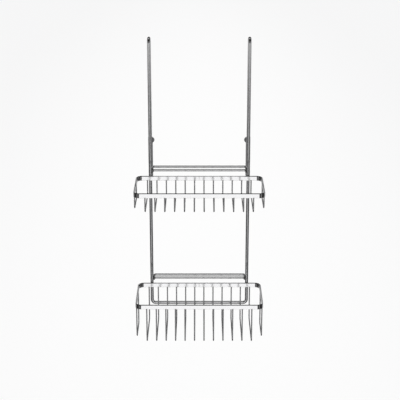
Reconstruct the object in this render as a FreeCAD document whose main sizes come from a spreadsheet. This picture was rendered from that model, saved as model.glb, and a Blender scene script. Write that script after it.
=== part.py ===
import FreeCAD, Part
import math
import os
import re
import Sketcher

# Two-tier shower caddy that hangs over a fixed glass screen, in chromed steel.
# One bent rod makes both hooks, both uprights and the bottom bend. Each tier is a basket of
# U-shaped wires welded under a flat-bar rim, with a forward-leaning guard rail above its back.
# A sleeve with a round cam ear turns on each rear hook leg and grips the glass.
#
# Frame: +Z up, +X to the right, +Y away from the user. The origin is where the top edge of the
# screen meets the underside of the hooks, midway between them and midway across the gap.

os.makedirs("parts", exist_ok=True)
doc = FreeCAD.newDocument("shower_caddy")
X_AXIS = FreeCAD.Vector(1, 0, 0)
Y_AXIS = FreeCAD.Vector(0, 1, 0)
Z_AXIS = FreeCAD.Vector(0, 0, 1)

# ---------------------------------------------------------------- driving dimensions
SIZES = {
    # the bent frame rod
    "rod_dia": 7.0,             # rod thickness
    "screen_gap": 13.0,         # clear gap of the hooks, for 6 to 10 mm glass
    "upright_inset": 30.6,      # end of the rim to the centreline of the upright
    "bottom_bend_drop": 49.4,   # top of the lower rim to the centreline of the bottom bend
    "corner_bend": 8.0,         # centreline radius of the two bottom corners
    "rear_leg_drop": 296.0,     # screen edge to the tip of each rear leg
    # the flat-bar rims
    "rim_width": 270.0,         # outside, left to right
    "rim_depth": 123.0,         # outside, front to back
    "rim_height": 10.0,         # height of the flat bar
    "rim_thick": 3.0,           # thickness of the flat bar
    "rim_corner": 13.0,         # outside corner radius
    "upper_rim_drop": 289.2,    # screen edge to the top of the upper rim
    "tier_spacing": 246.7,      # top of the upper rim to the top of the lower rim
    # the basket wires
    "wire_dia": 2.7,
    "wire_bend": 6.0,           # centreline radius of the two floor corners
    "first_wire_inset": 24.175,     # end of the rim to the first cross wire
    "end_wire_inset": 26.5,         # front or back of the rim to the leg of an end wire
    "upper_basket_depth": 42.0,     # rim top to the underside of the floor
    "lower_basket_depth": 85.6,
    # the guard rails
    "guard_dia": 5.0,
    "guard_bend": 5.0,          # centreline radius of the rail's two elbows
    "guard_leg": 18.8,          # rail centreline to the foot of its leg
    "guard_foot": 8.3,          # height of the foot above the rim top
    "guard_lean": 35.0,         # degrees the rail leans forward from upright
    "guard_bar_drop": 12.2,     # rail centreline to bar centreline, along the legs
    # the lock sleeves
    "sleeve_wall": 1.3,
    "sleeve_clearance": 0.1,    # all round, between the bore and the leg
    "sleeve_length": 88.3,
    "sleeve_cap": 2.0,          # thickness of the closed lower end
    "sleeve_tip_gap": 0.3,      # between the leg's tip and the closed end
    "sleeve_round": 4.0,        # rounding of the closed end
    "ear_dia": 12.0,
    "ear_rise": 3.7,            # sleeve surface to the nose of the ear
    "ear_thick": 5.0,
    "ear_round": 1.2,
    # what welds leave between touching pieces
    "weld_gap": 0.1,
}
WIRES_PER_BASKET = 12
TIERS = ("upper", "lower")
SIDES = {"left": -1, "right": 1}

sheet = doc.addObject("Spreadsheet::Sheet", "sizes")
for row, (alias, size) in enumerate(SIZES.items(), start=1):
    sheet.set(f"A{row}", alias)
    sheet.set(f"B{row}", str(size))
    sheet.setAlias(f"B{row}", alias)
doc.recompute()


def bind(item, formulas):
    """Ties properties of an object to formulas in which each size is called by its alias."""
    for path, formula in formulas.items():
        linked = re.sub(r"[a-z]\w*", lambda word: "sizes." * (word[0] in SIZES) + word[0], formula)
        item.setExpression(path, linked)


def place(item, x="0", y="0", z="0"):
    bind(item, {"Placement.Base.x": x, "Placement.Base.y": y, "Placement.Base.z": z})


def turn(item, axis, degrees):
    item.Placement = FreeCAD.Placement(FreeCAD.Vector(), FreeCAD.Rotation(axis, degrees))


# places that several pieces share
HALF_SPACING = "(rim_width / 2 - upright_inset)"
HOOK_RADIUS = "((screen_gap + rod_dia) / 2)"
FRAME_DROP = "(upper_rim_drop + tier_spacing + bottom_bend_drop)"
RIM_DROP = {"upper": "upper_rim_drop", "lower": "(upper_rim_drop + tier_spacing)"}
RIM_CENTRE_Y = f"-({HOOK_RADIUS} + rod_dia / 2 + weld_gap + rim_depth / 2)"

subparts = []


def named(item, label):
    item.Label = label
    subparts.append(item)
    return item


# ---------------------------------------------------------------- sketches
def origin_plane(body, role):
    return next(plane for plane in body.Origin.OriginFeatures if plane.Role == role)


def sketch_on(body, role, name):
    sketch = body.newObject("Sketcher::SketchObject", name)
    sketch.AttachmentSupport = (origin_plane(body, role), [""])
    sketch.MapMode = "FlatFace"
    return sketch


def circle(sketch, diameter):
    """One circle about the sketch's origin."""
    centre = FreeCAD.Vector(0, 0, 0)
    sketch.addGeometry(Part.Circle(centre, Z_AXIS, 1), False)
    sketch.addConstraint(Sketcher.Constraint("Coincident", 0, 3, -1, 1))
    sketch.addConstraint(Sketcher.Constraint("Diameter", 0, 2))
    sketch.renameConstraint(1, "diameter")
    bind(sketch, {"Constraints.diameter": diameter})


def corner_arc(x, y, radius, first_angle):
    whole = Part.Circle(FreeCAD.Vector(x, y, 0), Z_AXIS, radius)
    start = math.radians(first_angle)
    return Part.ArcOfCircle(whole, start, start + math.pi / 2)


def u_path(sketch, span, leg, bend):
    """A U open at the top: two legs, two quarter turns and a floor on the sketch's X axis."""
    half, height, radius = 50, 30, 5
    at = FreeCAD.Vector
    sketch.addGeometry([
        Part.LineSegment(at(-half, height, 0), at(-half, radius, 0)),
        corner_arc(-half + radius, radius, radius, 180),
        Part.LineSegment(at(-half + radius, 0, 0), at(half - radius, 0, 0)),
        corner_arc(half - radius, radius, radius, 270),
        Part.LineSegment(at(half, radius, 0), at(half, height, 0)),
    ], False)
    for edge in range(4):
        sketch.addConstraint(Sketcher.Constraint("Tangent", edge, 2, edge + 1, 1))
    sketch.addConstraint(Sketcher.Constraint("Vertical", 0))
    sketch.addConstraint(Sketcher.Constraint("Horizontal", 2))
    sketch.addConstraint(Sketcher.Constraint("Vertical", 4))
    sketch.addConstraint(Sketcher.Constraint("Equal", 1, 3))
    sketch.addConstraint(Sketcher.Constraint("Symmetric", 0, 1, 4, 2, -2))
    sketch.addConstraint(Sketcher.Constraint("PointOnObject", 2, 1, -1))
    for name, constraint, formula in (
            ("bend", Sketcher.Constraint("Radius", 1, radius), bend),
            ("span", Sketcher.Constraint("DistanceX", 0, 1, 4, 2, 2 * half), span),
            ("leg", Sketcher.Constraint("DistanceY", -1, 1, 0, 1, height), leg)):
        index = sketch.addConstraint(constraint)
        sketch.renameConstraint(index, name)
        bind(sketch, {f"Constraints.{name}": formula})


def rounded_rectangle(sketch, label, width, depth, corner):
    """A rectangle about the origin with four equal round corners."""
    first = sketch.GeometryCount
    half_x, half_y, radius = 60, 40, 5
    at = FreeCAD.Vector
    sketch.addGeometry([
        Part.LineSegment(at(-half_x + radius, -half_y, 0), at(half_x - radius, -half_y, 0)),
        corner_arc(half_x - radius, -half_y + radius, radius, 270),
        Part.LineSegment(at(half_x, -half_y + radius, 0), at(half_x, half_y - radius, 0)),
        corner_arc(half_x - radius, half_y - radius, radius, 0),
        Part.LineSegment(at(half_x - radius, half_y, 0), at(-half_x + radius, half_y, 0)),
        corner_arc(-half_x + radius, half_y - radius, radius, 90),
        Part.LineSegment(at(-half_x, half_y - radius, 0), at(-half_x, -half_y + radius, 0)),
        corner_arc(-half_x + radius, -half_y + radius, radius, 180),
    ], False)
    bottom, right, top, left = first, first + 2, first + 4, first + 6
    for edge in range(8):
        sketch.addConstraint(Sketcher.Constraint("Tangent", first + edge, 2, first + (edge + 1) % 8, 1))
    for side in (bottom, top):
        sketch.addConstraint(Sketcher.Constraint("Horizontal", side))
    for side in (left, right):
        sketch.addConstraint(Sketcher.Constraint("Vertical", side))
    for arc in (3, 5, 7):
        sketch.addConstraint(Sketcher.Constraint("Equal", first + 1, first + arc))
    sketch.addConstraint(Sketcher.Constraint("Symmetric", bottom, 1, top, 1, -1, 1))
    for name, constraint, formula in (
            ("corner", Sketcher.Constraint("Radius", first + 1, radius), corner),
            ("width", Sketcher.Constraint("DistanceX", left, 1, right, 1, 2 * half_x), width),
            ("depth", Sketcher.Constraint("DistanceY", bottom, 1, top, 1, 2 * half_y), depth)):
        index = sketch.addConstraint(constraint)
        sketch.renameConstraint(index, f"{label}_{name}")
        bind(sketch, {f"Constraints.{label}_{name}": formula})


# ---------------------------------------------------------------- the bent frame rod
def straight_rod(name, diameter, length, axis=None, degrees=0):
    rod = doc.addObject("Part::Cylinder", name)
    bind(rod, {"Radius": f"({diameter}) / 2", "Height": length})
    if axis:
        turn(rod, axis, degrees)
    return rod


def rod_bend(name, radius, sweep, rotation):
    """A stretch of torus in its own XY plane, from its +X axis through the sweep, then rotated."""
    bend = doc.addObject("Part::Torus", name)
    bind(bend, {"Radius1": radius, "Radius2": "rod_dia / 2"})
    bend.Angle3 = sweep
    bend.Placement = FreeCAD.Placement(FreeCAD.Vector(), rotation)
    return bend


def make_frame_rod():
    """Rear leg, hook, upright, bottom bend and the same up the other side, in one rod."""
    runs = []
    for side, sign in SIDES.items():
        upright_x = f"{sign} * {HALF_SPACING}"
        rear_leg = straight_rod(f"{side}_rear_leg", "rod_dia", "rear_leg_drop - screen_gap / 2")
        place(rear_leg, upright_x, HOOK_RADIUS, "-rear_leg_drop")
        hook = rod_bend(f"{side}_hook", HOOK_RADIUS, 180, FreeCAD.Rotation(Y_AXIS, Z_AXIS, X_AXIS, "ZXY"))
        place(hook, upright_x, "0", "-screen_gap / 2")
        upright = straight_rod(f"{side}_upright", "rod_dia",
                               f"{FRAME_DROP} - corner_bend - screen_gap / 2")
        place(upright, upright_x, f"-{HOOK_RADIUS}", f"-({FRAME_DROP} - corner_bend)")
        # the corner turns from straight down to straight across, towards the middle
        inward = FreeCAD.Vector(sign, 0, 0)
        down = FreeCAD.Vector(0, 0, -1)
        corner = rod_bend(f"{side}_corner", "corner_bend", 90,
                          FreeCAD.Rotation(inward, down, inward.cross(down), "ZXY"))
        place(corner, f"{sign} * ({HALF_SPACING} - corner_bend)", f"-{HOOK_RADIUS}",
              f"-({FRAME_DROP} - corner_bend)")
        runs += [rear_leg, hook, upright, corner]
    bottom = straight_rod("bottom_run", "rod_dia", f"2 * ({HALF_SPACING} - corner_bend)", Y_AXIS, 90)
    place(bottom, f"-({HALF_SPACING} - corner_bend)", f"-{HOOK_RADIUS}", f"-{FRAME_DROP}")
    rod = doc.addObject("Part::MultiFuse", "frame_rod")
    rod.Shapes = runs + [bottom]
    rod.Refine = True
    return named(rod, "frame_rod")


make_frame_rod()


# ---------------------------------------------------------------- flat-bar rims
def make_rim(tier):
    """A flat bar on edge, bent to a rounded rectangle and butt-welded."""
    body = doc.addObject("PartDesign::Body", f"{tier}_rim")
    outline = sketch_on(body, "XY_Plane", f"{tier}_rim_outline")
    rounded_rectangle(outline, "outer", "rim_width", "rim_depth", "rim_corner")
    rounded_rectangle(outline, "inner", "rim_width - 2 * rim_thick", "rim_depth - 2 * rim_thick",
                      "rim_corner - rim_thick")
    bar = body.newObject("PartDesign::Pad", f"{tier}_rim_bar")
    bar.Profile = outline
    bind(bar, {"Length": "rim_height"})
    place(body, "0", RIM_CENTRE_Y, f"-({RIM_DROP[tier]} + rim_height)")
    return named(body, f"{tier}_rim")


for tier in TIERS:
    make_rim(tier)


# ---------------------------------------------------------------- U-shaped rods and wires
def make_u_rod(label, diameter, span, leg, bend):
    """A round rod swept along a U whose floor is on the body's X axis and whose legs rise."""
    body = doc.addObject("PartDesign::Body", label)
    path = sketch_on(body, "XZ_Plane", f"{label}_path")
    u_path(path, span, leg, bend)
    section = sketch_on(body, "XY_Plane", f"{label}_section")
    circle(section, diameter)
    bind(section, {"AttachmentOffset.Base.x": f"-({span}) / 2", "AttachmentOffset.Base.z": leg})
    pipe = body.newObject("PartDesign::AdditivePipe", f"{label}_pipe")
    pipe.Profile = section
    pipe.Spine = (path, [f"Edge{number}" for number in range(1, 6)])
    return named(body, label)


def make_basket_wires(tier):
    """Cross wires at an even pitch, and one shorter wire under each end of the rim."""
    leg = f"{tier}_basket_depth - rim_height - wire_dia / 2"
    floor_z = f"-({RIM_DROP[tier]} + {tier}_basket_depth - wire_dia / 2)"
    first_x = "(rim_width / 2 - first_wire_inset)"
    for number in range(WIRES_PER_BASKET):
        wire = make_u_rod(f"{tier}_wire_{number + 1:02d}", "wire_dia", "rim_depth - rim_thick", leg,
                          "wire_bend")
        turn(wire, Z_AXIS, 90)
        across = 2 * number / (WIRES_PER_BASKET - 1) - 1
        place(wire, f"{across} * {first_x}", RIM_CENTRE_Y, floor_z)
    for side, sign in SIDES.items():
        wire = make_u_rod(f"{tier}_{side}_end_wire", "wire_dia", "rim_depth - 2 * end_wire_inset", leg,
                          "wire_bend")
        turn(wire, Z_AXIS, 90)
        place(wire, f"{sign} * (rim_width - rim_thick) / 2", RIM_CENTRE_Y, floor_z)


for tier in TIERS:
    make_basket_wires(tier)


# ---------------------------------------------------------------- guard rails
# The feet of a rail are welded to the uprights at 45 degrees, in front and on the inner side.
FOOT_OFFSET = "(((rod_dia + guard_dia) / 2 + weld_gap) * cos(45))"
GUARD_SPAN = f"2 * ({HALF_SPACING} - {FOOT_OFFSET})"
GUARD_TOP_Y = f"-({HOOK_RADIUS} + {FOOT_OFFSET} + guard_leg * sin(guard_lean))"
GUARD_TOP_RISE = "(guard_foot + guard_leg * cos(guard_lean))"


def make_guard(tier):
    """A leaning rail with two legs, and a bar welded between the legs below it."""
    rail = make_u_rod(f"{tier}_guard_rail", "guard_dia", GUARD_SPAN, "guard_leg", "guard_bend")
    turn(rail, X_AXIS, 180)
    bind(rail, {"Placement.Rotation.Angle": "180 + guard_lean"})
    place(rail, "0", GUARD_TOP_Y, f"{GUARD_TOP_RISE} - {RIM_DROP[tier]}")

    bar_length = f"{GUARD_SPAN} - guard_dia - 2 * weld_gap"
    bar = straight_rod(f"{tier}_guard_bar", "guard_dia", bar_length, Y_AXIS, 90)
    place(bar, f"-({bar_length}) / 2",
          f"{GUARD_TOP_Y} + guard_bar_drop * sin(guard_lean)",
          f"{GUARD_TOP_RISE} - guard_bar_drop * cos(guard_lean) - {RIM_DROP[tier]}")
    named(bar, f"{tier}_guard_bar")


for tier in TIERS:
    make_guard(tier)


# ---------------------------------------------------------------- lock sleeves
def make_lock_sleeve(side, sign):
    """A capped plastic sleeve on a rear leg, with a round ear that cams against the glass."""
    sleeve_dia = "(rod_dia + 2 * (sleeve_clearance + sleeve_wall))"
    body = doc.addObject("PartDesign::Body", f"{side}_lock_sleeve")
    barrel_round = sketch_on(body, "XY_Plane", f"{side}_sleeve_round")
    circle(barrel_round, sleeve_dia)
    barrel = body.newObject("PartDesign::Pad", f"{side}_sleeve_barrel")
    barrel.Profile = barrel_round
    bind(barrel, {"Length": "sleeve_length"})

    ear_round = sketch_on(body, "XZ_Plane", f"{side}_ear_round")
    circle(ear_round, "ear_dia")
    bind(ear_round, {"AttachmentOffset.Base.x": f"{-sign} * ({sleeve_dia} / 2 + ear_rise - ear_dia / 2)",
                     "AttachmentOffset.Base.y": "sleeve_length - ear_dia / 2"})
    ear = body.newObject("PartDesign::Pad", f"{side}_sleeve_ear")
    ear.Profile = ear_round
    ear.Midplane = True
    bind(ear, {"Length": "ear_thick"})
    doc.recompute()

    def edges_of(feature, wanted):
        return [f"Edge{number}" for number, edge in enumerate(feature.Shape.Edges, start=1)
                if isinstance(edge.Curve, Part.Circle) and wanted(edge)]

    def on_ear_rim(edge):
        off_middle = abs(edge.Curve.Center.y)
        return abs(edge.Curve.Axis.y) > 0.9 and abs(off_middle - SIZES["ear_thick"] / 2) < 1e-3

    def on_lower_end(edge):
        return abs(edge.Curve.Axis.z) > 0.9 and abs(edge.Curve.Center.z) < 1e-3

    ear_edges = body.newObject("PartDesign::Fillet", f"{side}_ear_edges")
    ear_edges.Base = (ear, edges_of(ear, on_ear_rim))
    bind(ear_edges, {"Radius": "ear_round"})
    doc.recompute()
    cap_edge = body.newObject("PartDesign::Fillet", f"{side}_cap_edge")
    cap_edge.Base = (ear_edges, edges_of(ear_edges, on_lower_end))
    bind(cap_edge, {"Radius": "sleeve_round"})
    doc.recompute()

    bore_round = sketch_on(body, "XY_Plane", f"{side}_bore_round")
    circle(bore_round, "rod_dia + 2 * sleeve_clearance")
    bind(bore_round, {"AttachmentOffset.Base.z": "sleeve_cap"})
    bore = body.newObject("PartDesign::Pocket", f"{side}_sleeve_bore")
    bore.Profile = bore_round
    bore.Reversed = True
    bind(bore, {"Length": "sleeve_length"})
    place(body, f"{sign} * {HALF_SPACING}", HOOK_RADIUS, "-(rear_leg_drop + sleeve_tip_gap + sleeve_cap)")
    return named(body, f"{side}_lock_sleeve")


for side, sign in SIDES.items():
    make_lock_sleeve(side, sign)

# ---------------------------------------------------------------- check and write
doc.recompute()
faulty = [item.Name for item in doc.Objects if {"Invalid", "Error"} & set(item.State)]
if faulty:
    raise RuntimeError("these objects failed: " + ", ".join(faulty))
for item in subparts:
    if item.Shape.isNull() or not item.Shape.isValid():
        raise RuntimeError(item.Label + " has no valid shape")
    if len(item.Shape.Solids) != 1:
        raise RuntimeError(f"{item.Label} has {len(item.Shape.Solids)} solids instead of one")
for item in subparts:
    item.Shape.exportStep(f"parts/{item.Label}.step")
print(f"wrote {len(subparts)} sub-parts")
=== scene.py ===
import math

import bpy
from mathutils import Matrix, Vector


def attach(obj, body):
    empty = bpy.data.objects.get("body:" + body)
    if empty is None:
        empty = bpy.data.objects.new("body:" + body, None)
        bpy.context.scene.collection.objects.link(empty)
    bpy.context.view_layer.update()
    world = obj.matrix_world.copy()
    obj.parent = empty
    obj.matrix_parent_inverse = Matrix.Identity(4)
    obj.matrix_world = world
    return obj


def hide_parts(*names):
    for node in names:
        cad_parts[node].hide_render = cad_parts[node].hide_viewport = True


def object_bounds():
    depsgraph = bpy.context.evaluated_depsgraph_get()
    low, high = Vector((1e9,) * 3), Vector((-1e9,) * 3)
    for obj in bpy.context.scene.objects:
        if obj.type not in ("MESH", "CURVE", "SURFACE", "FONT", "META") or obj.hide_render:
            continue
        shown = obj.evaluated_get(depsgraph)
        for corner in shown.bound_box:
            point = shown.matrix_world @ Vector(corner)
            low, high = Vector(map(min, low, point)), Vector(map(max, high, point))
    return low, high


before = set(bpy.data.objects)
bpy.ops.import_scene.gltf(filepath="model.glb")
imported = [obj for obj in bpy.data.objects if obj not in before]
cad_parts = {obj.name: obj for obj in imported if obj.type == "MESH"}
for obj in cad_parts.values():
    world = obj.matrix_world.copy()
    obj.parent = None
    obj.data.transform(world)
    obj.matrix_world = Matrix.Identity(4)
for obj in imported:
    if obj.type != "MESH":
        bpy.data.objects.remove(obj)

# ------------------------------------------------------------------ the studio
# A floor of white paper that runs on past the edge of sight, well below the hanging caddy, in a dim
# room with a pale wall behind. Tall soft panels stand all round, the widest and brightest in front,
# and one hangs overhead: polished plate shows them as stripes and the rest of the room as grey.
MM = 0.001
EYE = (1.5 * MM, -2299 * MM, 419 * MM)
LOOK_DOWN = 18.46
LENS = 100.7
PAPER = 0.93
FLOOR_DROP = 900 * MM
FLOOR_SIZE = 60.0
# Painted light: the floor's colour is painted lighter in the middle and darker towards its edges.
FLOOR_PAINTED_LIT = (0.985, 0.985, 0.985)
FLOOR_PAINTED_DIM = (0.925, 0.925, 0.927)
PANEL_STEP = math.radians(45)
PANEL_HALF = math.radians(4.6)
FRONT_HALF = math.radians(7)
SIDE_LIGHT = 0.72
FRONT_LIGHT_LOW, FRONT_LIGHT_HIGH = 1.14, 0.80
BACK_LIGHT = 0.65
TOP_LIGHT = 0.75
WALL_LIGHT = 0.42
SIDE_GLOOM = 0.7
SIDE_ON = 1.57
ROOM_SHADES = ((0.0, 0.14), (0.30, 0.11), (0.50, 0.11), (0.62, 0.03), (1.0, 0.015))
FILL, FILL_FROM_ABOVE, FILL_FROM_FRONT = 0.80, 0.30, 0.22

cad_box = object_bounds()

bpy.context.scene.view_settings.view_transform = "Standard"
camera_data = bpy.data.cameras.new("camera")
camera_data.lens = LENS
camera = bpy.data.objects.new("camera", camera_data)
camera.location = EYE
camera.rotation_euler = (math.radians(90 - LOOK_DOWN), 0, 0)
bpy.context.scene.collection.objects.link(camera)
bpy.context.scene.camera = camera


class Value:
    """A shader socket that adds, multiplies and compares as a number does."""

    def __init__(self, bench, socket):
        self.bench, self.socket = bench, socket

    def out(self, name):
        return Value(self.bench, self.socket.node.outputs[name])

    def maths(self, operation, first, second=0.0):
        return self.bench.node("ShaderNodeMath", {"operation": operation}, {0: first, 1: second})

    def __add__(self, other):
        return self.maths("ADD", self, other)

    def __sub__(self, other):
        return self.maths("SUBTRACT", self, other)

    def __rsub__(self, other):
        return self.maths("SUBTRACT", other, self)

    def __mul__(self, other):
        return self.maths("MULTIPLY", self, other)

    def __mod__(self, other):
        return self.maths("FLOORED_MODULO", self, other)

    def __abs__(self):
        return self.maths("ABSOLUTE", self)

    def __neg__(self):
        return self.maths("MULTIPLY", self, -1.0)

    def most(self, other):
        return self.maths("MAXIMUM", self, other)

    def ease(self, start, end, low=0.0, high=1.0):
        """Goes smoothly from low to high as the value goes from start to end."""
        return self.bench.node("ShaderNodeMapRange", {"interpolation_type": "SMOOTHSTEP"},
                               {"Value": self, "From Min": start, "From Max": end,
                                "To Min": low, "To Max": high})

    __radd__, __rmul__ = __add__, __mul__


class Bench:
    """A node tree with one method that makes every node."""

    def __init__(self, owner):
        owner.use_nodes = True
        self.tree = owner.node_tree
        self.tree.nodes.clear()

    def node(self, kind, settings=None, inputs=None, output=0):
        made = self.tree.nodes.new(kind)
        for name, value in (settings or {}).items():
            if name == "stops":
                while len(made.color_ramp.elements) < len(value):
                    made.color_ramp.elements.new(0.5)
                for stop, (place, shade) in zip(made.color_ramp.elements, value):
                    stop.position, stop.color = place, (*shade, 1)
            else:
                setattr(made, name, value)
        for name, value in (inputs or {}).items():
            if isinstance(value, Value):
                self.tree.links.new(value.socket, made.inputs[name])
            else:
                made.inputs[name].default_value = value
        return Value(self, made.outputs[output]) if len(made.outputs) else None

    def blend(self, share, first, second):
        return self.node("ShaderNodeMix", {"data_type": "RGBA"}, {0: share, 6: first, 7: second}, 2)

    def grain(self, place, scale, detail=2.0, rough=0.5):
        return self.node("ShaderNodeTexNoise", {},
                         {"Vector": place, "Scale": scale, "Detail": detail, "Roughness": rough}, "Fac")


world = bpy.data.worlds.new("studio")
bpy.context.scene.world = world
room = Bench(world)
# Up is the sine of the angle at which a ray climbs, and turned is its angle from dead ahead.
sight = room.node("ShaderNodeTexCoord", output="Generated")
aside = room.node("ShaderNodeSeparateXYZ", {}, {0: sight}, "X")
ahead, up = aside.out("Y"), aside.out("Z")
turned = room.node("ShaderNodeMath", {"operation": "ARCTAN2"}, {0: aside, 1: -ahead})
round_about = abs(turned)
above_floor = up.ease(-0.56, -0.51)
tall = above_floor * up.ease(0.60, 0.52)
front_panel = round_about.ease(FRONT_HALF * 1.2, FRONT_HALF) * above_floor * up.ease(0.16, 0.08)
front_panel = front_panel * up.ease(-0.26, -0.14, FRONT_LIGHT_LOW, FRONT_LIGHT_HIGH)
off_panel = abs((turned + PANEL_STEP / 2) % PANEL_STEP - PANEL_STEP / 2)
side_panels = off_panel.ease(PANEL_HALF * 1.25, PANEL_HALF) * tall * up.ease(-0.34, -0.22, 0.45, 1.0)
side_panels = side_panels * round_about.ease(2.90, 2.80)
low_at_the_sides = abs(round_about - SIDE_ON).ease(0.3, 0.2) * up.ease(-0.24, -0.29)
side_panels = side_panels * (1 - low_at_the_sides)
back_panel = round_about.ease(2.92, 3.0) * up.ease(-0.31, -0.26) * up.ease(0.15, 0.11)
top_panel = up.ease(0.88, 0.92) * round_about.ease(1.50, 1.64)
pale_wall = up.ease(-0.25, -0.16).most(round_about.ease(1.85, 2.25) * tall) * up.ease(0.17, 0.11)
gloom = round_about.ease(0.35, 0.60) * round_about.ease(2.40, 2.20) * SIDE_GLOOM
dim = room.node("ShaderNodeValToRGB", {"stops": [(place, (shade,) * 3) for place, shade in ROOM_SHADES]},
                {0: up * 0.5 + 0.5})
mirrored = (dim * (1 - gloom)).most(front_panel).most(side_panels * SIDE_LIGHT)
mirrored = mirrored.most(back_panel * BACK_LIGHT).most(top_panel * TOP_LIGHT).most(pale_wall * WALL_LIGHT)
soft_fill = FILL + up * FILL_FROM_ABOVE - ahead * FILL_FROM_FRONT
# Looked at directly the room is white paper. Only reflections show the dim room and its panels, and
# only matt surfaces take the soft fill. The floor is left out of reflections for the same reason.
seen = room.node("ShaderNodeLightPath", output="Is Camera Ray")
glossy = seen.out("Is Glossy Ray")
strength = seen * PAPER + (1 - seen) * (glossy * mirrored + (1 - glossy) * soft_fill)
light = room.node("ShaderNodeBackground", {}, {"Color": (1, 1, 1, 1), "Strength": strength})
room.node("ShaderNodeOutputWorld", {}, {"Surface": light})

bpy.ops.object.select_all(action="DESELECT")
bpy.ops.mesh.primitive_plane_add(size=FLOOR_SIZE, location=(0, 0, cad_box[0].z - FLOOR_DROP))
floor = bpy.context.object
floor.name = floor.data.name = "paper_floor"
floor.visible_glossy = False
paper = bpy.data.materials.new("white_paper")
sheet = Bench(paper)
spot = sheet.node("ShaderNodeTexCoord", output="Object")
# Painted pool of light: the paper is painted lighter in a wide oval ahead of the caddy and darker away from
# it. Only the fine grain is the paper's own tone.
painted_light_pool = sheet.node("ShaderNodeMapping", {},
                  {"Vector": spot, "Location": (0, -0.5, 0), "Scale": (0.9, 0.15, 0)})
painted_pool_reach = sheet.node("ShaderNodeVectorMath", {"operation": "LENGTH"}, {0: painted_light_pool}, "Value")
grain_and_painted_pool = sheet.blend(painted_pool_reach.ease(0.1, 1.7) + sheet.grain(spot, 60.0) * 0.04, (*FLOOR_PAINTED_LIT, 1), (*FLOOR_PAINTED_DIM, 1))
matt = sheet.node("ShaderNodeBsdfDiffuse", {}, {"Color": grain_and_painted_pool})
sheet.node("ShaderNodeOutputMaterial", {}, {"Surface": matt})
floor.data.materials.append(paper)

# --------------------------------------------------------------- the frame rod
# One 7 mm steel rod makes both hooks, both uprights and the bottom bar: it starts in a rear leg,
# goes over the screen's edge, down, across and up to the other leg. Bent cold, then chrome plated.
ROD_RADIUS = 3.5 * MM
ROD_SIDES = 32
UPRIGHT_X = 104.4 * MM
UPRIGHT_Y = -10 * MM
LEG_Y = 10 * MM
LEG_TIP_Z = -296 * MM
HOOK_CENTRE_Z = -6.5 * MM
BOTTOM_Z = -585.3 * MM
BOTTOM_BEND = 8 * MM
ROD_EDGE = 0.8 * MM
HOOK_STEPS = 28
BEND_STEPS = 14
BAR_SMOOTH_UNDER = 40
TIERS = {"upper": -289.2 * MM, "lower": -535.9 * MM}
RIM_HEIGHT = 10 * MM
PLATE = (0.80, 0.80, 0.81)
WELD_GREY = (0.47, 0.46, 0.45)


def start_bar(name, place, along, radius, sides):
    """Stands a ring of points at a bar's first end, looking along the bar, ready to be drawn out."""
    bpy.ops.object.select_all(action="DESELECT")
    facing = Vector(along).to_track_quat("Z", "Y").to_euler()
    bpy.ops.mesh.primitive_circle_add(vertices=sides, radius=radius, location=place, rotation=facing)
    return open_ring(name)


def open_ring(name):
    """Fixes a new primitive's size and place in its mesh and opens it for shaping."""
    bpy.ops.object.transform_apply(location=True, rotation=True, scale=True)
    bar = bpy.context.object
    bar.name = bar.data.name = name
    bpy.ops.object.mode_set(mode="EDIT")
    bpy.ops.mesh.select_all(action="SELECT")
    return bar


def run(x=0.0, y=0.0, z=0.0):
    """Draws the selected end of the bar out straight."""
    bpy.ops.mesh.extrude_region_move(TRANSFORM_OT_translate={"value": (x, y, z)})


def bend(centre, axis, degrees, steps):
    """Bends the selected end of the bar round a former."""
    bpy.ops.mesh.spin(steps=steps, angle=math.radians(-degrees), center=centre, axis=axis)


def swell(size, place):
    """Widens or narrows the selected end of the bar."""
    bpy.ops.transform.resize(value=(size, size, size), center_override=place)


def pick_ends(sides):
    """Selects only the flat ends, which have as many sides as the bar."""
    bpy.ops.mesh.select_mode(type="FACE")
    bpy.ops.mesh.select_all(action="DESELECT")
    bpy.ops.mesh.select_face_by_sides(number=sides, type="EQUAL", extend=False)


def close_bar(bar, edge, sides):
    """Caps both ends, takes the sharp edge off each, and smooths the skin."""
    bpy.ops.mesh.select_all(action="SELECT")
    bpy.ops.mesh.fill_holes(sides=0)
    pick_ends(sides)
    bpy.ops.mesh.region_to_loop()
    bpy.ops.mesh.bevel(offset=edge, segments=3)
    return smooth(bar)


def smooth(piece, angle=BAR_SMOOTH_UNDER):
    """Turns the faces outwards and smooths all but the sharp edges, which keep even reflections."""
    bpy.ops.mesh.select_all(action="SELECT")
    bpy.ops.mesh.normals_make_consistent(inside=False)
    bpy.ops.object.mode_set(mode="OBJECT")
    bpy.ops.object.shade_smooth_by_angle(angle=math.radians(angle))
    even = piece.modifiers.new("even_shine", "WEIGHTED_NORMAL")
    even.keep_sharp = True
    bpy.ops.object.modifier_apply(modifier=even.name)
    return piece


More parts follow.
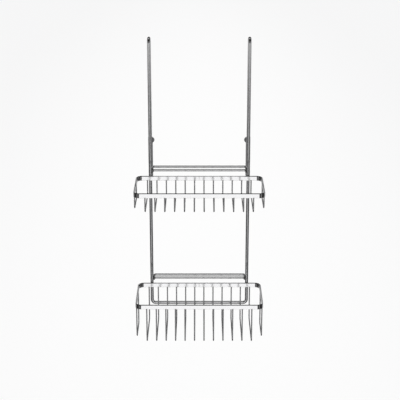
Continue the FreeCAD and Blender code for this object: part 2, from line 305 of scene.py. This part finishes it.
def chrome(name, colour, lay, heat):
    """Bright plate: fine polishing lines along the bar, a faint haze, and dull spots by the welds."""
    plate = bpy.data.materials.new(name)
    bench = Bench(plate)
    place = bench.node("ShaderNodeTexCoord", output="Object")
    x = bench.node("ShaderNodeSeparateXYZ", {}, {0: place}, "X")
    dull = heat(x, x.out("Y"), x.out("Z"))
    drawn = bench.node("ShaderNodeMapping", {}, {"Vector": place, "Scale": lay})
    lines = bench.grain(drawn, 2600.0, 3.0, 0.6)
    haze = bench.grain(place, 95.0, 3.0, 0.55)
    pits = bench.grain(place, 1400.0, 1.0)
    darker, lighter = [(*[part * share for part in colour], 1) for share in (0.95, 1.03)]
    shade = bench.blend(haze.ease(0.25, 0.75) * 0.5 + lines * 0.3, darker, lighter)
    shade = bench.blend(dull * 0.55, shade, (*WELD_GREY, 1))
    roughness = 0.045 + haze * 0.05 + lines * 0.03 + dull * 0.16
    height = lines * 0.5 + pits * 0.3 + haze * 0.6
    bump = bench.node("ShaderNodeBump", {}, {"Strength": 0.05, "Distance": 0.3 * MM, "Height": height})
    skin = bench.node("ShaderNodeBsdfPrincipled", {},
                      {"Base Color": shade, "Metallic": 1.0, "Roughness": roughness, "Normal": bump})
    bench.node("ShaderNodeOutputMaterial", {}, {"Surface": skin})
    return plate


def fit(piece, material, slot, body, *nodes):
    """Plates or colours the finished piece and puts it in the place of the CAD nodes it stands for."""
    piece.data.materials.clear()
    piece.data.materials.append(material)
    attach(piece, body)
    if nodes:
        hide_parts(*nodes)


def rim_joint_heat(x, y, z):
    """Dull bands on the uprights where the two rims are welded on."""
    bands = [abs(z - (top - RIM_HEIGHT / 2)).ease(9 * MM, 5 * MM) for top in TIERS.values()]
    return bands[0].most(bands[1]) * y.ease(-11.5 * MM, -13 * MM)


frame_chrome = chrome("frame_chrome", PLATE, (1.0, 1.0, 0.03), rim_joint_heat)
frame_rod = start_bar("bent_frame_rod", (-UPRIGHT_X, LEG_Y, LEG_TIP_Z), (0, 0, 1), ROD_RADIUS, ROD_SIDES)
corner_z = BOTTOM_Z + BOTTOM_BEND
corner_x = UPRIGHT_X - BOTTOM_BEND
run(z=HOOK_CENTRE_Z - LEG_TIP_Z)
bend((-UPRIGHT_X, 0, HOOK_CENTRE_Z), (1, 0, 0), 180, HOOK_STEPS)
run(z=corner_z - HOOK_CENTRE_Z)
bend((-corner_x, UPRIGHT_Y, corner_z), (0, 1, 0), -90, BEND_STEPS)
run(x=2 * corner_x)
bend((corner_x, UPRIGHT_Y, corner_z), (0, 1, 0), -90, BEND_STEPS)
run(z=HOOK_CENTRE_Z - corner_z)
bend((UPRIGHT_X, 0, HOOK_CENTRE_Z), (1, 0, 0), -180, HOOK_STEPS)
run(z=LEG_TIP_Z - HOOK_CENTRE_Z)
close_bar(frame_rod, ROD_EDGE, ROD_SIDES)
fit(frame_rod, frame_chrome, "frame_chrome", "rack", "frame_rod")

# ------------------------------------------------------------------- the rims
# Each basket's rim is a 10 x 3 mm flat steel bar on edge, bent round four corners and butt welded
# to itself in the middle of the back. Its upper edges, which hands brush, are chamfered, and the
# lower ones, which the wires are welded under, are nearly square. The back is welded to the uprights.
RIM_THICK = 3 * MM
RIM_TOP_EDGE = 1.25 * MM
RIM_LOWER_EDGE = 0.3 * MM
RIM_X = 133.5 * MM
RIM_FRONT_Y = -135.1 * MM
RIM_BACK_Y = -15.1 * MM
RIM_BEND = 11.5 * MM
WIRE_PITCH = 20.15 * MM
FIRST_WIRE_X = -110.825 * MM
SEAM = 0.8 * MM
SEAM_SWELL = 1.04
SEAM_HEAT = 0.2


def wire_foot_heat(x, y, z):
    """Small dull spots on the rim's lower edge over each wire, and a band at the welded seam."""
    from_wire = abs((x - FIRST_WIRE_X + WIRE_PITCH / 2) % WIRE_PITCH - WIRE_PITCH / 2)
    unders = [abs(z - (top - RIM_HEIGHT)).ease(2.2 * MM, 0.6 * MM) for top in TIERS.values()]
    seam = abs(x).ease(3 * MM, 1 * MM) * y.ease(-20 * MM, -17 * MM)
    return (from_wire.ease(2.6 * MM, 1.4 * MM) * unders[0].most(unders[1])).most(seam * SEAM_HEAT)


rim_chrome = chrome("rim_chrome", (0.82, 0.82, 0.83), (0.12, 0.12, 1.0), wire_foot_heat)


def pick_points(piece, wanted):
    """Selects the points for which wanted(place) is true, and no others."""
    bpy.ops.mesh.select_mode(type="VERT")
    bpy.ops.mesh.select_all(action="DESELECT")
    bpy.ops.object.mode_set(mode="OBJECT")
    for point in piece.data.vertices:
        point.select = wanted(point.co)
    bpy.ops.object.mode_set(mode="EDIT")


def make_rim(tier, top):
    """Draws the bar's section from the seam round four corners and back, and joins it to itself."""
    middle = top - RIM_HEIGHT / 2
    bpy.ops.object.select_all(action="DESELECT")
    bpy.ops.mesh.primitive_plane_add(size=1, location=(0, RIM_BACK_Y, middle), rotation=(0, math.pi / 2, 0))
    bpy.context.object.scale = (RIM_HEIGHT, RIM_THICK, 1)
    rim = open_ring(f"{tier}_rim_bar")
    pick_points(rim, lambda point: point.z > middle)
    bpy.ops.mesh.bevel(offset=RIM_TOP_EDGE, segments=1, affect="VERTICES")
    pick_points(rim, lambda point: point.z < middle - RIM_HEIGHT / 3)
    bpy.ops.mesh.bevel(offset=RIM_LOWER_EDGE, segments=3, affect="VERTICES")
    bpy.ops.mesh.select_all(action="SELECT")
    bpy.ops.mesh.delete(type="ONLY_FACE")
    bpy.ops.mesh.select_all(action="SELECT")
    side_x, back_y, front_y = RIM_X - RIM_BEND, RIM_BACK_Y - RIM_BEND, RIM_FRONT_Y + RIM_BEND
    run(x=SEAM)
    run(x=SEAM)
    run(x=side_x - 2 * SEAM)
    bend((side_x, back_y, middle), (0, 0, 1), -90, BEND_STEPS)
    run(y=front_y - back_y)
    bend((side_x, front_y, middle), (0, 0, 1), -90, BEND_STEPS)
    run(x=-2 * side_x)
    bend((-side_x, front_y, middle), (0, 0, 1), -90, BEND_STEPS)
    run(y=back_y - front_y)
    bend((-side_x, back_y, middle), (0, 0, 1), -90, BEND_STEPS)
    run(x=side_x - 2 * SEAM)
    run(x=SEAM)
    run(x=SEAM)
    bpy.ops.mesh.select_all(action="SELECT")
    bpy.ops.mesh.remove_doubles(threshold=0.02 * MM)
    pick_points(rim, lambda point: abs(point.x) < SEAM / 4 and point.y > back_y)
    bpy.ops.transform.resize(value=(1, SEAM_SWELL, 1), center_override=(0, RIM_BACK_Y, middle))
    smooth(rim)
    fit(rim, rim_chrome, "rim_chrome", "rack", f"{tier}_rim")


for tier, top in TIERS.items():
    make_rim(tier, top)

# ----------------------------------------------------------------- the wires
# Twelve 2.7 mm wires cross under each rim from front to back and one short loop closes each end.
# Each is a bent U, resistance welded by its two upset tips to the rim's lower edge, then plated.
WIRE_RADIUS = 1.35 * MM
WIRE_SIDES = 20
WIRE_BEND = 6 * MM
WIRES = 12
UPSET = 1.46 * MM
UPSET_LENGTH = 0.45 * MM
WIRE_EDGE = 0.15 * MM
WIRE_BEND_STEPS = 10
END_LOOP_Y = -75.1 * MM
END_LOOP_HALF = 35 * MM
DEPTHS = {"upper": 42 * MM, "lower": 85.6 * MM}


def tip_heat(x, y, z):
    """Wires are duller for a few millimetres below their welded tips."""
    tips = [abs(z - (top - RIM_HEIGHT)).ease(3.5 * MM, 0.8 * MM) for top in TIERS.values()]
    return tips[0].most(tips[1])


wire_chrome = chrome("wire_chrome", PLATE, (1.0, 1.0, 0.05), tip_heat)


def make_loop(name, top, depth, first, last):
    """A U of wire from one welded tip down, across and up to the other."""
    first, last = Vector(first), Vector(last)
    across = (last - first).normalized()
    drop = depth - RIM_HEIGHT - WIRE_RADIUS
    corner_drop = drop - WIRE_BEND
    axis = across.cross(Vector((0, 0, 1)))
    loop = start_bar(name, (first.x, first.y, top - RIM_HEIGHT), (0, 0, -1), UPSET, WIRE_SIDES)
    run(z=-UPSET_LENGTH)
    run(z=-UPSET_LENGTH)
    swell(WIRE_RADIUS / UPSET, (first.x, first.y, top - RIM_HEIGHT - 2 * UPSET_LENGTH))
    run(z=2 * UPSET_LENGTH - corner_drop)
    corner_z = top - RIM_HEIGHT - corner_drop
    near, away = first + across * WIRE_BEND, last - across * WIRE_BEND
    bend((near.x, near.y, corner_z), axis, 90, WIRE_BEND_STEPS)
    run(*(away - near))
    bend((away.x, away.y, corner_z), axis, 90, WIRE_BEND_STEPS)
    run(z=corner_drop - 2 * UPSET_LENGTH)
    run(z=UPSET_LENGTH)
    swell(UPSET / WIRE_RADIUS, (last.x, last.y, top - RIM_HEIGHT - UPSET_LENGTH))
    run(z=UPSET_LENGTH)
    return close_bar(loop, WIRE_EDGE, WIRE_SIDES)


def copy_moved(piece, name, x):
    """A copy with its own mesh, moved sideways."""
    twin = piece.copy()
    twin.data = piece.data.copy()
    twin.name = twin.data.name = name
    twin.data.transform(Matrix.Translation((x, 0, 0)))
    bpy.context.scene.collection.objects.link(twin)
    return twin


for tier, top in TIERS.items():
    wires = [make_loop(f"{tier}_basket_wire_01", top, DEPTHS[tier],
                       (FIRST_WIRE_X, RIM_FRONT_Y, 0), (FIRST_WIRE_X, RIM_BACK_Y, 0))]
    for number in range(1, WIRES):
        wires.append(copy_moved(wires[0], f"{tier}_basket_wire_{number + 1:02d}", number * WIRE_PITCH))
    for number, wire in enumerate(wires, start=1):
        fit(wire, wire_chrome, "wire_chrome", "rack", f"{tier}_wire_{number:02d}")
    left = make_loop(f"{tier}_left_end_loop", top, DEPTHS[tier],
                     (-RIM_X, END_LOOP_Y - END_LOOP_HALF, 0), (-RIM_X, END_LOOP_Y + END_LOOP_HALF, 0))
    right = copy_moved(left, f"{tier}_right_end_loop", 2 * RIM_X)
    fit(left, wire_chrome, "wire_chrome", "rack", f"{tier}_left_end_wire")
    fit(right, wire_chrome, "wire_chrome", "rack", f"{tier}_right_end_wire")

# ---------------------------------------------------------------- the guards
# Behind each basket a 5 mm rod leans forward off the uprights as a low guard rail, and a straight
# bar of the same rod is welded between its legs. Both keep bottles off the glass.
GUARD_RADIUS = 2.5 * MM
GUARD_SIDES = 24
GUARD_LEG_X = 100.09 * MM
GUARD_EDGE = 0.7 * MM
GUARD_BEND = 5 * MM
GUARD_LEG = 18.8 * MM
GUARD_TOP_Y = -25.1 * MM
GUARD_TOP_RISE = 23.7 * MM
GUARD_LEAN = math.radians(35)
GUARD_BAR_DROP = 12.2 * MM
BAR_HALF = 97.49 * MM
BAR_EDGE = 0.15 * MM
BAR_FLARE = 1.22
FLARE_END, FLARE_NECK = 0.3 * MM, 0.9 * MM
GUARD_HEAT = 0.4


def foot_heat(x, y, z):
    """The guard is dull at its feet and where its bar is welded in."""
    feet = [abs(z - top - 9 * MM).ease(6 * MM, 2 * MM) for top in TIERS.values()]
    return feet[0].most(feet[1]).most(abs(abs(x) - BAR_HALF).ease(3 * MM, 1 * MM)) * GUARD_HEAT


guard_chrome = chrome("guard_chrome", PLATE, (0.03, 1.0, 1.0), foot_heat)
lean = Vector((0, -math.sin(GUARD_LEAN), math.cos(GUARD_LEAN)))
for tier, top in TIERS.items():
    crown = Vector((0, GUARD_TOP_Y, top + GUARD_TOP_RISE))
    foot = crown - lean * GUARD_LEG
    shoulder = crown - lean * GUARD_BEND
    turn_axis = lean.cross(Vector((1, 0, 0)))
    shoulder_x = GUARD_LEG_X - GUARD_BEND
    rail = start_bar(f"{tier}_guard_hoop", (-GUARD_LEG_X, foot.y, foot.z), lean, GUARD_RADIUS, GUARD_SIDES)
    run(*(lean * (GUARD_LEG - GUARD_BEND)))
    bend((-shoulder_x, shoulder.y, shoulder.z), turn_axis, 90, WIRE_BEND_STEPS)
    run(x=2 * shoulder_x)
    bend((shoulder_x, shoulder.y, shoulder.z), turn_axis, 90, WIRE_BEND_STEPS)
    run(*(lean * (GUARD_BEND - GUARD_LEG)))
    close_bar(rail, GUARD_EDGE, GUARD_SIDES)
    fit(rail, guard_chrome, "guard_chrome", "rack", f"{tier}_guard_rail")

    seat = crown - lean * GUARD_BAR_DROP
    bar = start_bar(f"{tier}_guard_cross_bar", (-BAR_HALF, seat.y, seat.z), (1, 0, 0),
                    GUARD_RADIUS * BAR_FLARE, GUARD_SIDES)
    run(x=FLARE_END)
    run(x=FLARE_NECK - FLARE_END)
    swell(1 / BAR_FLARE, (FLARE_NECK - BAR_HALF, seat.y, seat.z))
    run(x=2 * (BAR_HALF - FLARE_NECK))
    run(x=FLARE_NECK - FLARE_END)
    swell(BAR_FLARE, (BAR_HALF - FLARE_END, seat.y, seat.z))
    run(x=FLARE_END)
    close_bar(bar, BAR_EDGE, GUARD_SIDES)
    fit(bar, guard_chrome, "guard_chrome", "rack", f"{tier}_guard_bar")

# --------------------------------------------------------------- weld beads
# Short rippled beads hold each rim to the uprights, one each side of the rod, and each guard foot
# to the upright beside it. They are plated with everything else.
BEAD_SIDES = 12
BEAD_RADIUS = 0.62 * MM
BEAD_RUN = 8.4 * MM
BEAD_ASIDE = 1.95 * MM
BEAD_Y = -13.25 * MM
BEAD_RIPPLES = 7
BEAD_TIP, BEAD_DIP = 0.35, 0.86
BEAD_SMOOTH_UNDER = 60
FOOT_BEAD_RUN = 4.2 * MM
FOOT_BEAD_RISE = 10.4 * MM
FOOT_BEADS = ((102.6 * MM, -13.7 * MM, 1.3), (100.7 * MM, -11.2 * MM, 1.2))


def make_bead(name, place, length, radius):
    """A small bead whose ripples are rings that swell and shrink along it."""
    place = Vector(place)
    step = length / (2 * BEAD_RIPPLES)
    bead = start_bar(name, place - Vector((0, 0, length / 2)), (0, 0, 1), radius * BEAD_TIP, BEAD_SIDES)
    middles = [1.0 if number % 2 else BEAD_DIP for number in range(2 * BEAD_RIPPLES - 1)]
    sizes = [BEAD_TIP] + middles + [BEAD_TIP]
    for number in range(1, len(sizes)):
        run(z=step)
        swell(sizes[number] / sizes[number - 1], place + Vector((0, 0, number * step - length / 2)))
    bpy.ops.mesh.select_all(action="SELECT")
    bpy.ops.mesh.fill_holes(sides=0)
    return smooth(bead, BEAD_SMOOTH_UNDER)


for tier, top in TIERS.items():
    beads = []
    for side in (-1, 1):
        for aside_of_rod in (-BEAD_ASIDE, BEAD_ASIDE):
            place = (side * UPRIGHT_X + aside_of_rod, BEAD_Y, top - RIM_HEIGHT / 2)
            beads.append(make_bead("bead", place, BEAD_RUN, BEAD_RADIUS))
        for foot_x, foot_y, swelling in FOOT_BEADS:
            place = (side * foot_x, foot_y, top + FOOT_BEAD_RISE)
            beads.append(make_bead("bead", place, FOOT_BEAD_RUN, BEAD_RADIUS * swelling))
    bpy.ops.object.select_all(action="DESELECT")
    for bead in beads:
        bead.select_set(True)
    bpy.context.view_layer.objects.active = beads[0]
    bpy.ops.object.join()
    welds = bpy.context.object
    welds.name = welds.data.name = f"{tier}_weld_beads"
    fit(welds, rim_chrome, "rim_chrome", "rack")

# ------------------------------------------------------------- lock sleeves
# A soft grey plastic sleeve is pushed on each rear leg. Its round ear is a cam: turned square to
# the screen it presses on the glass. Moulded in one, with grip rings, a parting line and a dished ear.
SLEEVE_RADIUS = 4.9 * MM
SLEEVE_BORE = 3.6 * MM
BORE_OVERRUN = 1 * MM
SLEEVE_TOP = -210 * MM
SLEEVE_FOOT = -298.3 * MM
SLEEVE_ROUND = 4 * MM
ROUND_STEPS = 8
SLEEVE_CAP = 2 * MM
SLEEVE_SIDES = 48
EAR_RADIUS = 6 * MM
EAR_THICK = 5 * MM
EAR_ROUND = 1.2 * MM
EAR_REACH = 2.6 * MM
EAR_RIM = 0.7 * MM
EAR_DISH = 0.6 * MM
GRIP_RINGS = 6
GRIP_START = 14 * MM
GRIP_PITCH = 3.2 * MM
GRIP_SLOPE = 0.4 * MM
GRIP_DEPTH = 0.35 * MM
MOUTH_EDGE = 0.5 * MM
SMOOTH_UNDER = 50
GREY = (0.13, 0.13, 0.135)
RUBBED_GREY = (0.24, 0.24, 0.245)
PARTING_GREY = (0.07, 0.07, 0.072)


def moulded_plastic(name):
    """Satin grey plastic: a fine moulded grain, cloudy colour, rubbed spots and a parting line."""
    plastic = bpy.data.materials.new(name)
    bench = Bench(plastic)
    place = bench.node("ShaderNodeTexCoord", output="Object")
    across = bench.node("ShaderNodeSeparateXYZ", {}, {0: place}, "Y")
    grain = bench.grain(place, 2400.0, 2.0, 0.6)
    cloud = bench.grain(place, 120.0, 3.0)
    rubbed = bench.grain(place, 420.0, 4.0, 0.65).ease(0.52, 0.72)
    parting = abs(across - LEG_Y).ease(0.22 * MM, 0.08 * MM)
    darker, lighter = [(*[part * share for part in GREY], 1) for share in (0.86, 1.22)]
    shade = bench.blend(cloud * 0.6 + grain * 0.3, darker, lighter)
    shade = bench.blend(rubbed * 0.18, shade, (*RUBBED_GREY, 1))
    shade = bench.blend(parting * 0.35, shade, (*PARTING_GREY, 1))
    height = grain * 0.8 + cloud * 0.3 - parting * 1.2
    bump = bench.node("ShaderNodeBump", {}, {"Strength": 0.35, "Distance": 0.2 * MM, "Height": height})
    skin = bench.node("ShaderNodeBsdfPrincipled", {},
                      {"Base Color": shade, "Roughness": 0.34 + grain * 0.16, "Coat Weight": 0.6,
                       "Coat Roughness": 0.16, "Normal": bump})
    bench.node("ShaderNodeOutputMaterial", {}, {"Surface": skin})
    return plastic


def make_sleeve():
    """The left sleeve: a barrel of stacked rings, the dished ear joined on, then the bore cut out."""
    axis = Vector((-UPRIGHT_X, LEG_Y, 0))
    tip = SLEEVE_RADIUS - SLEEVE_ROUND
    barrel = start_bar("left_sleeve_shell", axis + Vector((0, 0, SLEEVE_FOOT)), (0, 0, 1), tip, SLEEVE_SIDES)
    rings = []
    for number in range(1, ROUND_STEPS + 1):
        angle = number * math.pi / (2 * ROUND_STEPS)
        rings.append((SLEEVE_ROUND * (1 - math.cos(angle)), tip + SLEEVE_ROUND * math.sin(angle)))
    for number in range(GRIP_RINGS):
        start = GRIP_START + GRIP_PITCH * number
        rings += [(start, SLEEVE_RADIUS),
                  (start + GRIP_SLOPE, SLEEVE_RADIUS - GRIP_DEPTH),
                  (start + 3 * GRIP_SLOPE, SLEEVE_RADIUS - GRIP_DEPTH),
                  (start + 4 * GRIP_SLOPE, SLEEVE_RADIUS)]
    length = SLEEVE_TOP - SLEEVE_FOOT
    rings += [(length - MOUTH_EDGE, SLEEVE_RADIUS),
              (length - 0.3 * MOUTH_EDGE, SLEEVE_RADIUS - 0.3 * MOUTH_EDGE),
              (length, SLEEVE_RADIUS - MOUTH_EDGE)]
    height, radius = 0.0, tip
    for ring_height, ring_radius in rings:
        run(z=ring_height - height)
        swell(ring_radius / radius, axis + Vector((0, 0, SLEEVE_FOOT + ring_height)))
        height, radius = ring_height, ring_radius
    bpy.ops.mesh.select_all(action="SELECT")
    bpy.ops.mesh.fill_holes(sides=0)
    smooth(barrel, SMOOTH_UNDER)

    ear_at = axis + Vector((EAR_REACH, 0, SLEEVE_TOP - EAR_RADIUS))
    bpy.ops.object.select_all(action="DESELECT")
    bpy.ops.mesh.primitive_cylinder_add(vertices=SLEEVE_SIDES, radius=EAR_RADIUS, depth=EAR_THICK,
                                        location=ear_at, rotation=(math.pi / 2, 0, 0))
    ear = open_ring("ear")
    pick_ends(SLEEVE_SIDES)
    bpy.ops.mesh.region_to_loop()
    bpy.ops.mesh.bevel(offset=EAR_ROUND, segments=4)
    pick_ends(SLEEVE_SIDES)
    bpy.ops.mesh.inset(thickness=EAR_RIM, use_individual=True)
    bpy.ops.mesh.inset(thickness=EAR_DISH, depth=-EAR_DISH, use_individual=True)
    smooth(ear, SMOOTH_UNDER)

    bpy.ops.object.select_all(action="DESELECT")
    bore_length = length - SLEEVE_CAP + BORE_OVERRUN
    bpy.ops.mesh.primitive_cylinder_add(
        vertices=SLEEVE_SIDES, radius=SLEEVE_BORE, depth=bore_length,
        location=axis + Vector((0, 0, SLEEVE_FOOT + SLEEVE_CAP + bore_length / 2)))
    bore = open_ring("bore")
    smooth(bore, SMOOTH_UNDER)
    for tool, work in ((ear, "UNION"), (bore, "DIFFERENCE")):
        bpy.ops.object.select_all(action="DESELECT")
        barrel.select_set(True)
        bpy.context.view_layer.objects.active = barrel
        cut = barrel.modifiers.new(work.lower(), "BOOLEAN")
        cut.object, cut.operation, cut.solver = tool, work, "EXACT"
        bpy.ops.object.modifier_apply(modifier=cut.name)
        bpy.data.objects.remove(tool)
    bpy.ops.object.mode_set(mode="EDIT")
    return smooth(barrel, SMOOTH_UNDER)


sleeve_plastic = moulded_plastic("stop_sleeve_plastic")
left_sleeve = make_sleeve()
right_sleeve = copy_moved(left_sleeve, "right_sleeve_shell", 0)
right_sleeve.data.transform(Matrix.Diagonal((-1, 1, 1, 1)))
right_sleeve.data.flip_normals()
fit(left_sleeve, sleeve_plastic, "stop_sleeve", "left_sleeve", "left_lock_sleeve")
fit(right_sleeve, sleeve_plastic, "stop_sleeve", "right_sleeve", "right_lock_sleeve")
